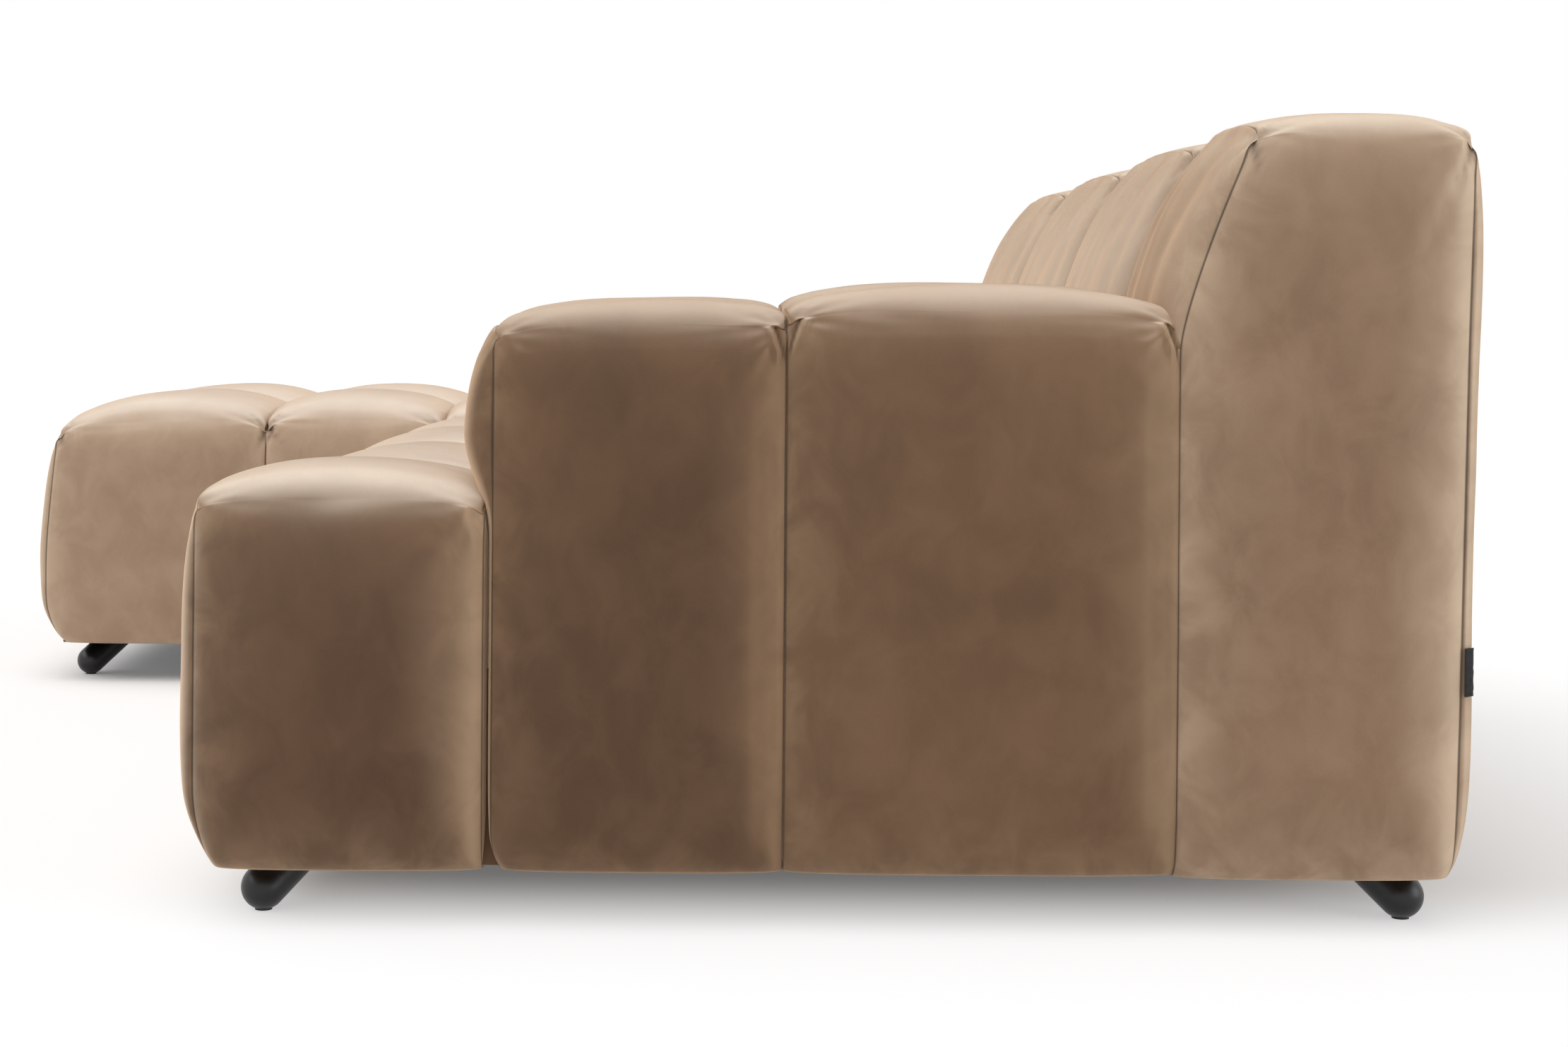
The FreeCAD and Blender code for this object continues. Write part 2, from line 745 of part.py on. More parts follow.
def make_label():
    seam = rear - size.seam_draw + size.frame_clearance / 2
    low = size.label_base_height
    keep(board("label_tab", (arm_side - size.label_thickness, arm_side),
               (seam, seam + size.label_width), (low, low + size.label_height)))


make_seat()
make_chaise_padding()
make_arm_padding()
make_back_padding()
make_sofa_base()
make_chaise_base()
make_arm_frame()
make_back_frame()
make_suspension()
make_feet()
make_links()
make_dust_covers()
make_label()
doc.recompute()

for item in doc.Objects:
    if "Invalid" in item.State or "Error" in item.State:
        raise RuntimeError(f"{item.Label} failed: {item.State}")
for piece in nodes:
    if piece.Shape.isNull() or not piece.Shape.isValid() or not piece.Shape.Solids:
        raise RuntimeError(f"{piece.Label} has no sound shape")

os.makedirs("parts", exist_ok=True)
for piece in nodes:
    piece.Shape.exportStep(f"parts/{piece.Label}.step")
    box = piece.Shape.BoundBox
    print(piece.Label, len(piece.Shape.Solids), round(piece.Shape.Volume / 1000),
          [round(edge, 1) for edge in (box.XMin, box.XMax, box.YMin, box.YMax, box.ZMin, box.ZMax)])
print(len(nodes), "sub-parts")
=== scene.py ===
import math

import bpy
import numpy as np
from mathutils import Matrix, Vector, noise


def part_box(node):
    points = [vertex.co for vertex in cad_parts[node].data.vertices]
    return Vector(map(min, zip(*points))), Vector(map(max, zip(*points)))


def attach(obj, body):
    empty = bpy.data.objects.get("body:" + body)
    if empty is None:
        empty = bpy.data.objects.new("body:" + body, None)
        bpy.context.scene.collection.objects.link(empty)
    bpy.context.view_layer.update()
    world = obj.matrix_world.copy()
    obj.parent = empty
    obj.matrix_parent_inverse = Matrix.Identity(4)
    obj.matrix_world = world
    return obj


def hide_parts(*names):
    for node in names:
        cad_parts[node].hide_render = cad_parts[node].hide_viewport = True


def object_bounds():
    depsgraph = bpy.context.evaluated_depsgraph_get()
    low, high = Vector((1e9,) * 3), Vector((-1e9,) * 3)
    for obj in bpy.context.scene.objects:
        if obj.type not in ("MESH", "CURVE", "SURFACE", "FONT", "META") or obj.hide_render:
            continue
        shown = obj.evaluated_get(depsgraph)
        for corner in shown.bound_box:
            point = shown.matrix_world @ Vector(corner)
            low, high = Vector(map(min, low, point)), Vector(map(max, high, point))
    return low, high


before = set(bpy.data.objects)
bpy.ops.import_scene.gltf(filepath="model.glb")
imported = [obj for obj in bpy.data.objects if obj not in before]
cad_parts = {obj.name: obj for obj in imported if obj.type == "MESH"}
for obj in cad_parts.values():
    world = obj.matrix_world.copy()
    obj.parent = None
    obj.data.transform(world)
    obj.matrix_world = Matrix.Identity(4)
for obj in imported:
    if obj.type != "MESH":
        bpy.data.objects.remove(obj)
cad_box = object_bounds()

# Rows of the chaise, from its front: one longer row, then equal ones to the rear
CHAISE_FRONT_ROW = 0.362
CHAISE_REAR_ROWS = 5

# Mesh steps, in metres
FINE_STEP = 0.013
BROAD_STEP = 0.02
SEAM_LOOPS = (0.0015, 0.005, 0.01, 0.017, 0.026)
CLOSE_LOOPS = (0.0015, 0.004, 0.0065, 0.009, 0.0115, 0.014, 0.0175, 0.0215, 0.026, 0.031, 0.037)

# Half of the gap that the solids leave between padded pieces
HALF_GAP = 0.001
# How far the seat block runs in under the arm's front
BLOCK_UNDER_ARM = 0.016

# A point counts as lying on a face within this distance
ON_FACE = 1e-6
# Points of a cover that stay put: beside the seams and along the base
HELD_BESIDE_SEAM = 0.004
HELD_ABOVE_BASE = 0.01

# The sharp tuck at a seam, and the small roll of the panel beside it
TOP_TUCK = 0.15
SIDE_TUCK = 0.35
TUCK_REACH = 0.006
BASE_REACH = 0.035
PANEL_TOP_REACH = 0.045
PANEL_BASE_REACH = 0.03
ROLL_REACH = 0.011
# Height over which a pressed front panel is set free, below and above the given height
PRESSED_BELOW = 0.06
PRESSED_ABOVE = 0.04
# How late the corners drop, the arch falls to its ends and a leaning front sets in
CORNER_CURVE = 4
ARCH_CURVE = 2.5
LEAN_CURVE = 1.3

# Tucks that radiate from a pinched corner: direction in radians and depth
TUCKS = ((-1.15, 0.012), (-0.7, 0.006), (-0.2, 0.004), (0.45, 0.008), (0.95, 0.009))
TUCK_WIDTH = 0.006
TUCK_LENGTH = 0.045
TUCK_SHADE = 120
TUCK_START = 0.006
TUCK_BANK_AT = 1.6
TUCK_BANK = 0.5
# How far a tuck turns from corner to corner, in radians, and the scale of that change
TUCK_TURN = 0.25
TURN_SCALE = 3.1
NEAR_FRONT = 0.1
# A dart folded in beside a seam: it starts at the pinched corner and runs down into the seam
DART_GAP = 0.0125
DART_WIDTH = 0.0026
DART_LENGTH = 0.05
DART_DEPTH = 0.007
DART_BANK = 0.5
DART_BANK_AT = 2.2
DART_BANK_WIDTH = 1.5
DART_SHADE = 0.7
DART_FADE = (1.1, 0.7)

# Upright pleats of a front panel: changes per metre, stretch in height, reach and start at the top
PLEAT_SCALE = 26
PLEAT_STRETCH = 0.12
PLEAT_REACH = 0.16
PLEAT_START = 0.012
# Gathers along the base and beside the seams, and the uneven fill
HEM_SCALE = 48
HEM_STRETCH = (0.3, 0.2)
HEM_REACH = 0.04
GATHER_SCALE = 42
GATHER_STRETCH = (0.1, 0.2)
GATHER_REACH = 0.03
GATHER_START = 0.006
FILL_SCALE = 7.5
FILL_REACH = 0.05
# Folds fade out over this height above the base
FOLD_FADE = 0.05

# How far the painted shade of a stitched crease reaches
CREASE_REACH = 0.001
# How far the painted highlight beside a seam or a lower edge reaches
EDGE_REACH = 0.03
# How far the painted light at the top of a side reaches down
SHOULDER_REACH = 0.08

# Strip of fabric round the rails, and the label's place on the seam
BAND_ROOM = 0.012
BAND_THICK = 0.004
BAND_LOW = 0.061
BAND_HIGH = 0.25
LABEL_OUT = 0.003
LABEL_THICK = 0.0006
LABEL_SEARCH = 0.04
LABEL_ROWS = 12
LABEL_COLUMNS = 6
LABEL_NEAREST = 4
LABEL_EASE = 0.001

# Cover simulation
SIM_FRAMES = 16
SIM_PRESSURE = 4.0
COVER_SLACK = -0.004
COVER_TRAVEL = 0.007
EVEN_PASSES = 10


# Mesh of one cushion

def loops(low, high, step, beside):
    """Places along one edge of a block: close together beside the seams, even between them."""
    inner_low, inner_high = low + beside[-1], high - beside[-1]
    count = max(2, round((inner_high - inner_low) / step))
    near = (0.0,) + beside[:-1]
    even = list(np.linspace(inner_low, inner_high, count + 1))
    return [low + gap for gap in near] + even + [high - gap for gap in reversed(near)]


def lattice(xs, ys, zs):
    """Closed grid over the six faces of a block, as points and outward quads."""
    sides = (xs, ys, zs)
    index = {}
    points = []
    quads = []

    def corner(place):
        if place not in index:
            index[place] = len(points)
            points.append([sides[axis][place[axis]] for axis in range(3)])
        return index[place]

    for axis in range(3):
        u_axis, v_axis = (axis + 1) % 3, (axis + 2) % 3
        for end in (0, len(sides[axis]) - 1):
            for u in range(len(sides[u_axis]) - 1):
                for v in range(len(sides[v_axis]) - 1):
                    ring = []
                    for step_u, step_v in ((0, 0), (1, 0), (1, 1), (0, 1)):
                        place = [0, 0, 0]
                        place[axis], place[u_axis], place[v_axis] = end, u + step_u, v + step_v
                        ring.append(corner(tuple(place)))
                    quads.append(ring if end else ring[::-1])
    return np.array(points), quads


def rounded(across, up, half, low, high, low_round, high_round):
    """Rounds the four long edges of a block: square corners become quarter circles."""
    for radius, edge, sign in ((high_round, high, 1), (low_round, low, -1)):
        s = (np.abs(across) - (half - radius)) / radius
        t = (sign * (up - edge) + radius) / radius
        inside = (s > 0) & (t > 0)
        new_s = s * np.sqrt(np.clip(1 - t * t / 2, 0, 1))
        new_t = t * np.sqrt(np.clip(1 - s * s / 2, 0, 1))
        across = np.where(inside, np.sign(across) * (half - radius + new_s * radius), across)
        up = np.where(inside, edge + sign * (new_t - 1) * radius, up)
    return across, up


def uneven(points, scale, seed):
    """Smooth uneven values between about -1 and 1, the same on each run."""
    shift = Vector((seed * 1.7, seed * 0.9, seed * 2.3))
    return np.array([noise.noise(Vector(point) * scale + shift) for point in points])


def swell(distance, reach):
    """How far a cover has risen at some distance from the seam that holds it."""
    return 1 - np.exp(-np.maximum(distance, 0) / reach)


def pinched(distance, reach, tuck):
    """The same with a share of the rise in a sharp tuck right at the stitches."""
    return tuck * swell(distance, TUCK_REACH) + (1 - tuck) * swell(distance, reach)


def roll(distance):
    """A small bulge beside a seam, gone again further in."""
    share = np.maximum(distance, 0) / ROLL_REACH
    return share * np.exp(1 - share)


def eased(value, low, high):
    """A smooth step from 0 at the low value to 1 at the high one."""
    share = np.clip((value - low) / (high - low), 0, 1)
    return share * share * (3 - 2 * share)


class Cushion:
    """One cushion: a cover wrapped over the sides and the top, sewn to a front and a rear panel."""

    def __init__(self, box, look, seed):
        (self.x0, self.x1), (self.y0, self.y1), (self.z0, self.z1) = box
        self.look = look
        self.seed = seed
        step, beside = look["step"], look["loops"]
        flat, self.quads = lattice(loops(self.x0, self.x1, step, SEAM_LOOPS),
                                   loops(self.y0, self.y1, step, beside),
                                   loops(self.z0, self.z1, step, beside))
        self.flat = flat
        x, y, z = flat.T
        self.half = (self.x1 - self.x0) / 2
        self.side = x - (self.x0 + self.x1) / 2
        self.front_panel = y < self.y0 + ON_FACE
        self.rear_panel = y > self.y1 - ON_FACE
        rim = np.minimum(np.minimum(self.half - np.abs(self.side), self.z1 - z), z - self.z0)
        self.seam_gap = np.where(self.front_panel | self.rear_panel, rim,
                                 np.minimum(y - self.y0, self.y1 - y))
        self.points = self.shaped(y, z) + self.folds(y, z)
        self.base_gap = z - self.z0
        self.top_gap = self.z1 - z
        self.held = (self.seam_gap < HELD_BESIDE_SEAM) | (z < self.z0 + HELD_ABOVE_BASE)

    def shaped(self, y, z):
        """The plain cushion: rounded, crowned, drawn in at the seams and puffed out at its panels."""
        look, half = self.look, self.half
        tall, deep = self.z1 - self.z0, self.y1 - self.y0
        front_full = pinched(y - self.y0, look["front_reach"], TOP_TUCK)
        rear_full = pinched(self.y1 - y, look["rear_reach"], TOP_TUCK)
        full = front_full * rear_full
        side_full = (pinched(y - self.y0, look["side_reach"], SIDE_TUCK)
                     * pinched(self.y1 - y, look["side_reach"], SIDE_TUCK))

        round_now = look["corner_round"] + (look["top_round"] - look["corner_round"]) * full
        across, up = rounded(self.side, z, half, self.z0, self.z1, look["base_round"], round_now)
        lifted = np.clip((up - self.z0) / tall, 0, 1) ** 2
        off_centre = np.abs(across / half)
        lengthwise = np.abs(2 * (y - self.y0) / deep - 1)
        up = up - lifted * (
            look["front_drop"] * (1 - front_full) + look["rear_drop"] * (1 - rear_full)
            + look["corner_drop"] * (1 - full) * off_centre ** CORNER_CURVE
            + look["crown"] * off_centre ** 2 + look["tilt"] * across / half
            + look["arch"] * lengthwise ** ARCH_CURVE
            + look["valley"] * np.exp(-(across / look["valley_wide"]) ** 2) * lifted)
        tucked = look["draw"] * (1 - side_full) + look["base_draw"] * np.exp(-(z - self.z0) / BASE_REACH)
        across = across * (1 - tucked / half)

        room = deep - look["front_inset"] - look["rear_inset"]
        along = self.y0 + look["front_inset"] + (y - self.y0) * room / deep
        edge, below, above = half - np.abs(self.side), self.z1 - z, z - self.z0
        ends = swell(below, PANEL_TOP_REACH) * swell(above, PANEL_BASE_REACH)
        front_risen = swell(edge, look["front_puff_reach"]) * ends
        rear_risen = swell(edge, look["rear_puff_reach"]) * ends
        free = look["pressed_share"] + (1 - look["pressed_share"]) * eased(
            up, look["pressed_to"] - PRESSED_BELOW, look["pressed_to"] + PRESSED_ABOVE)
        along = along - np.where(self.front_panel, look["front_puff"] * free * front_risen, 0)
        along = along + np.where(self.rear_panel, look["rear_puff"] * rear_risen, 0)

        puffed = (self.front_panel & (look["front_puff"] > 0)) | (self.rear_panel & (look["rear_puff"] > 0))
        across = across + np.where(puffed, np.sign(self.side) * look["roll"] * ends * roll(edge), 0)
        up = up + np.where(puffed, look["roll"] * roll(below) * swell(edge, PANEL_TOP_REACH), 0)

        low_down = np.clip(1 - (up - self.z0) / look["heel"], 0, 1) ** 2
        inward = np.clip(2 * (along - self.y0) / deep - 1, -1, 1)
        heel = np.where(inward < 0, look["front_heel"], look["rear_heel"])
        along = along - heel * low_down * inward * np.abs(inward) ** 3

        height = np.clip((up - self.z0) / tall, 0, 1)
        along = along - look["rear_taper"] * (1 - height) * np.clip(inward, 0, 1)
        up = up - look["sag"] * np.exp(-(z - self.z0) / BASE_REACH)

        low, high = look["lean_heights"]
        leaned = np.clip((up - low) / (high - low), 0, 1) ** LEAN_CURVE
        along = along + look["lean"] * leaned * (1 - np.clip((along - self.y0) / deep, 0, 1))
        return np.stack([across + (self.x0 + self.x1) / 2, along, up], axis=1)

    def folds(self, y, z):
        """Small gathers along the seams, pull folds from the pinched corners and an uneven fill."""
        look = self.look
        on_panel = self.front_panel | self.rear_panel
        on_top = (z > self.z1 - ON_FACE) & ~on_panel
        on_wall = ~on_top & ~on_panel
        edge = self.half - np.abs(self.side)
        below = self.z1 - z
        run = np.where(on_top, edge, -below)
        radius = np.where(on_panel, np.hypot(edge, below), np.hypot(self.seam_gap, run))
        angle = np.where(on_panel, np.arctan2(below, edge), np.arctan2(run, self.seam_gap))
        turn = uneven(np.stack([np.sign(self.side), np.sign(y - self.y0 - NEAR_FRONT), 0 * y], axis=1),
                      TURN_SCALE, self.seed + 11)
        near_corner = np.exp(-radius / TUCK_LENGTH) * radius / (radius + TUCK_START) * look["corner_fold"]
        corner = 0 * radius
        # fold_dark gathers painted shade: the tuck lines, the darts and the pleat valleys
        self.fold_dark = 0 * radius
        for lean, depth in TUCKS:
            off_line = (angle - lean - turn * TUCK_TURN) * radius / TUCK_WIDTH
            line, bank = np.exp(-off_line ** 2), np.exp(-(off_line - TUCK_BANK_AT) ** 2)
            corner = corner + depth * (TUCK_BANK * bank - line) * near_corner
            self.fold_dark = np.maximum(self.fold_dark, line * near_corner * depth * TUCK_SHADE)
        off_dart = (self.seam_gap - DART_GAP * (1 - below / DART_LENGTH)) / DART_WIDTH
        fade_from, fade_to = DART_FADE
        window = np.where(on_wall, eased(below, DART_LENGTH * fade_from, DART_LENGTH * fade_to), 0)
        front_dart, rear_dart = look["darts"]
        strength = np.where(y - self.y0 < self.y1 - y, front_dart, rear_dart)
        window = window * np.clip(strength + 2 * turn, 0, 1)
        dart = np.exp(-off_dart ** 2) * window
        bank = np.exp(-((off_dart - DART_BANK_AT) / DART_BANK_WIDTH) ** 2) * window
        corner = corner + DART_DEPTH * (DART_BANK * bank - dart)
        self.fold_dark = np.maximum(self.fold_dark, DART_SHADE * dart)
        pleats = uneven(np.stack([self.side, 0 * y, z * PLEAT_STRETCH], axis=1), PLEAT_SCALE, self.seed + 31)
        # Painted shade in the pleat valleys of a front panel
        valleys = np.where(self.front_panel, np.clip(-2 * pleats, 0, 1) * look["pleat_dark"], 0)
        self.fold_dark = np.maximum(self.fold_dark, valleys)
        pleats = pleats * look["pleat"] * np.exp(-below / PLEAT_REACH) * swell(below, PLEAT_START)
        across, up = HEM_STRETCH
        hem = uneven(np.stack([y, self.side * across, z * up], axis=1), HEM_SCALE, self.seed + 41)
        hem = hem * look["base_gather"] * np.exp(-(z - self.z0) / HEM_REACH)
        across, along = GATHER_STRETCH
        path = np.stack([np.where(on_top | on_panel, self.side, z), self.side * across, y * along], axis=1)
        gathers = uneven(path, GATHER_SCALE, self.seed + 5) * np.exp(-self.seam_gap / GATHER_REACH)
        gathers = gathers * self.seam_gap / (self.seam_gap + GATHER_START) * look["gather"]
        fill = uneven(self.flat, FILL_SCALE, self.seed + 23) * look["uneven"]
        fill = fill * swell(self.seam_gap, FILL_REACH)
        height = corner + gathers + fill + np.where(self.front_panel, pleats, 0) + np.where(on_wall, hem, 0)
        out = np.zeros_like(self.flat)
        out[:, 0] = np.where(on_wall, np.sign(self.side) * height, 0)
        out[:, 1] = np.where(self.front_panel, -height, np.where(self.rear_panel, height, 0))
        out[:, 2] = np.where(on_top, height, 0)
        return out * (np.minimum(z - self.z0, FOLD_FADE) / FOLD_FADE)[:, None]


# How a cushion looks where nothing else is said: lengths in metres, shares from 0 to 1
PLAIN = {
    "step": BROAD_STEP, "loops": SEAM_LOOPS,
    "base_round": 0.018, "top_round": 0.05, "corner_round": 0.028,
    "front_reach": 0.045, "rear_reach": 0.04, "side_reach": 0.038, "draw": 0.02, "base_draw": 0.012,
    "front_drop": 0.012, "rear_drop": 0.014, "corner_drop": 0.005, "crown": 0.008, "arch": 0.003,
    "valley": 0.0, "valley_wide": 0.03, "front_inset": 0.0, "rear_inset": 0.0,
    "front_puff": 0.0, "rear_puff": 0.0, "front_puff_reach": 0.014, "rear_puff_reach": 0.014, "roll": 0.006,
    "pressed_to": 0.0, "pressed_share": 1.0,
    "heel": 0.075, "front_heel": 0.0, "rear_heel": 0.0, "lean": 0.0, "lean_heights": (0.56, 0.77),
    "tilt": 0.0, "sag": 0.0, "rear_taper": 0.0, "darts": (0.5, 0.5),
    "corner_fold": 1.0, "gather": 0.003, "base_gather": 0.003, "uneven": 0.003,
    "pleat": 0.0, "pleat_dark": 0.0,
}


def padded_piece(name, node, cushions):
    """One padded piece from its cushions, riding on the sofa in place of its solid."""
    points, quads, held, crease, edges, shoulders = [], [], [], [], [], []
    start = 0
    for seed, (box, changes) in enumerate(cushions):
        part = Cushion(box, {**PLAIN, **changes}, seed + len(name) * 3)
        quads += [[start + index for index in face] for face in part.quads]
        points.append(part.points)
        held.append(part.held)
        # Marks for painted shade in seams and folds, painted highlight beside seams and lower edges, and
        # painted light at the tops of the sides
        crease.append(np.maximum(np.exp(-part.seam_gap / CREASE_REACH), part.fold_dark))
        edges.append(np.maximum(np.exp(-part.seam_gap / EDGE_REACH), np.exp(-part.base_gap / EDGE_REACH)))
        shoulders.append(np.exp(-part.top_gap / SHOULDER_REACH))
        start += len(part.points)
    mesh = bpy.data.meshes.new(name)
    mesh.from_pydata(np.concatenate(points).tolist(), [], quads)
    mesh.polygons.foreach_set("use_smooth", [True] * len(mesh.polygons))
    for mark, values in (("crease", crease), ("edge", edges), ("shoulder", shoulders)):
        mesh.attributes.new(mark, "FLOAT", "POINT").data.foreach_set("value", np.concatenate(values))
    piece = bpy.data.objects.new(name, mesh)
    bpy.context.collection.objects.link(piece)
    pins = piece.vertex_groups.new(name="held")
    pins.add(np.flatnonzero(np.concatenate(held)).tolist(), 1.0, "REPLACE")
    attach(piece, "root")
    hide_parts(node)
    return piece


def span(node):
    """Box of a solid as three (low, high) pairs, widened to meet its neighbours."""
    low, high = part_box(node)
    pairs = []
    for axis in range(3):
        room = HALF_GAP if axis < 2 else 0.0
        pairs.append((max(low[axis] - room, cad_box[0][axis]), min(high[axis] + room, cad_box[1][axis])))
    return pairs


# Padded pieces

def make_padding():
    """All padded pieces of the arm, the seat, the chaise and the back."""
    pieces = []
    arm_front = span("arm_padding_front")
    arm_rear = span("arm_padding_rear")
    wide, (seat_face, _), tall = span("seat_padding_arm_column")
    arm_face, arm_seam = arm_front[1]
    back_face = arm_rear[1][1]
    sewn_front = {"front_inset": 0.009, "front_puff": 0.016, "front_heel": 0.035}

    block = (wide, (seat_face, arm_face + BLOCK_UNDER_ARM), tall)
    block_look = {**sewn_front, "step": FINE_STEP, "top_round": 0.07, "sag": 0.004,
                  "front_drop": 0.018, "rear_drop": 0.02, "front_heel": 0.024,
                  "darts": (-2.5, 0.5), "corner_fold": 0.45}
    pieces.append(padded_piece("seat_block", "seat_padding_arm_column", [(block, block_look)]))

    arm_look = {"step": FINE_STEP, "loops": CLOSE_LOOPS, "top_round": 0.07, "crown": 0.0, "valley": 0.03,
                "arch": 0.003, "front_drop": 0.02, "tilt": 0.005, "sag": 0.004, "darts": (2.5, 2.5),
                "corner_fold": 0.6}
    front_look = {**arm_look, "front_inset": 0.024, "front_puff": 0.034, "pressed_to": 0.44,
                  "pressed_share": 0.1, "front_drop": 0.022, "heel": 0.035, "front_heel": 0.02,
                  "rear_drop": 0.008, "rear_reach": 0.02, "darts": (-2.5, 2.5), "corner_fold": 0.45}
    rear_look = {**arm_look, "rear_drop": 0.024}
    pieces.append(padded_piece("arm_front_cushion", "arm_padding_front", [(arm_front, front_look)]))
    pieces.append(padded_piece("arm_rear_cushion", "arm_padding_rear", [(arm_rear, rear_look)]))

    seat_front = {**sewn_front, "front_drop": 0.024, "front_reach": 0.06, "lean": 0.05,
                  "lean_heights": (0.2, 0.43)}
    rows = (seat_face, arm_face, arm_seam, back_face)
    for number in (1, 2, 3):
        node = f"seat_padding_column_{number}"
        wide, _, tall = span(node)
        cushions = []
        for start, end in zip(rows, rows[1:]):
            look = seat_front if start == seat_face else {}
            cushions.append(((wide, (start, end), tall), look))
        pieces.append(padded_piece(f"seat_column_{number}", node, cushions))

    for number in (1, 2):
        node = f"chaise_padding_column_{number}"
        wide, (near, far), tall = span(node)
        first = near + CHAISE_FRONT_ROW
        rows = [near] + list(np.linspace(first, far, CHAISE_REAR_ROWS + 1))
        cushions = []
        for start, end in zip(rows, rows[1:]):
            look = {"corner_drop": 0.01, "front_drop": 0.016, "rear_drop": 0.02, "top_round": 0.085,
                    "crown": 0.02, "arch": 0.006}
            if start == near:
                look.update({**sewn_front, "front_drop": 0.034, "front_reach": 0.1, "lean": 0.02,
                             "lean_heights": (0.2, 0.42), "base_gather": 0.012})
            if end == rows[-1]:
                look.update({"rear_inset": 0.012, "rear_puff": 0.012, "rear_heel": 0.03})
            cushions.append(((wide, (start, end), tall), look))
        pieces.append(padded_piece(f"chaise_column_{number}", node, cushions))

    for number in (1, 2, 3, 4):
        look = {"step": FINE_STEP, "top_round": 0.055, "front_puff": 0.026,
                "pressed_to": 0.58 if number == 1 else 0.44, "pressed_share": 0.0, "rear_inset": 0.0065,
                "rear_puff": 0.015, "rear_puff_reach": 0.006,
                "front_drop": 0.006, "rear_drop": 0.01, "corner_drop": 0.008, "crown": 0.006,
                "heel": 0.03, "rear_heel": 0.003, "rear_taper": 0.014, "sag": 0.006,
                "lean": 0.074, "front_puff_reach": 0.03, "pleat": 0.024, "pleat_dark": 0.45}
        node = f"back_padding_channel_{number}"
        pieces.append(padded_piece(f"back_channel_{number}", node, [(span(node), look)]))
    return pieces


soft_pieces = make_padding()


# Cover simulation: each cover is held along its seams and blown up a little

def add_cover(piece):
    """Lets the cover of a piece blow up like cloth."""
    cover = piece.modifiers.new("cover", "CLOTH")
    settings = cover.settings
    settings.quality = 4
    settings.mass = 0.2
    settings.tension_stiffness = 12
    settings.compression_stiffness = 8
    settings.shear_stiffness = 5
    settings.bending_stiffness = 0.6
    settings.vertex_group_mass = "held"
    settings.pin_stiffness = 1.0
    settings.use_pressure = True
    settings.uniform_pressure_force = SIM_PRESSURE
    settings.shrink_min = COVER_SLACK
    settings.effector_weights.gravity = 0
    cover.collision_settings.use_collision = False
    cover.collision_settings.use_self_collision = False
    cover.point_cache.frame_start = 1
    cover.point_cache.frame_end = SIM_FRAMES


def evened(mesh, move):
    """Averages the moves of neighbouring points, so that the cover swells without small dents."""
    ends = np.empty(len(mesh.edges) * 2, dtype=np.int32)
    mesh.edges.foreach_get("vertices", ends)
    first, second = ends.reshape(-1, 2).T
    count = np.bincount(ends, minlength=len(move))[:, None]
    held = np.zeros(len(move), dtype=bool)
    for vertex in mesh.vertices:
        held[vertex.index] = len(vertex.groups) > 0
    for _ in range(EVEN_PASSES):
        total = np.zeros_like(move)
        np.add.at(total, first, move[second])
        np.add.at(total, second, move[first])
        move = np.where(held[:, None], move, (move + total / count) / 2)
    return move


def settle(piece):
    """Takes the blown-up cover back into the mesh, with no point moved further than the cap."""
    graph = bpy.context.evaluated_depsgraph_get()
    blown = piece.evaluated_get(graph).to_mesh()
    count = len(piece.data.vertices)
    before = np.empty(count * 3)
    after = np.empty(count * 3)
    piece.data.vertices.foreach_get("co", before)
    blown.vertices.foreach_get("co", after)
    before, after = before.reshape(-1, 3), after.reshape(-1, 3)
    move = after - before
    far = np.linalg.norm(move, axis=1, keepdims=True)
    print("cover", piece.name, "moved", round(float(far.max()) * 1000, 1), "mm")
    move *= np.minimum(1, COVER_TRAVEL / np.maximum(far, 1e-9))
    move = evened(piece.data, move)
    piece.evaluated_get(graph).to_mesh_clear()
    return (before + move).ravel()


scene = bpy.context.scene
scene.frame_start, scene.frame_end = 1, SIM_FRAMES
for piece in soft_pieces:
    add_cover(piece)
for number in range(1, SIM_FRAMES + 1):
    scene.frame_set(number)
settled = [settle(piece) for piece in soft_pieces]
for piece, places in zip(soft_pieces, settled):
    piece.modifiers.remove(piece.modifiers["cover"])
    piece.data.vertices.foreach_set("co", places)
    piece.data.update()
scene.frame_set(1)

for piece in soft_pieces:
    smoothing = piece.modifiers.new("smoothing", "SUBSURF")
    smoothing.levels = 1
    smoothing.render_levels = 1


# Materials

class Socket:
    """A shader value whose arithmetic adds Math nodes."""

    def __init__(self, finish, socket):
        self.finish = finish
        self.socket = socket

    def joined(self, operation, first, second):
        return self.finish.add("Math", {"operation": operation}, {0: first, 1: second})

    def __add__(self, other):
        return self.joined("ADD", self, other)

    def __radd__(self, other):
        return self.joined("ADD", other, self)

    def __sub__(self, other):
        return self.joined("SUBTRACT", self, other)

    def __mul__(self, other):
        return self.joined("MULTIPLY", self, other)


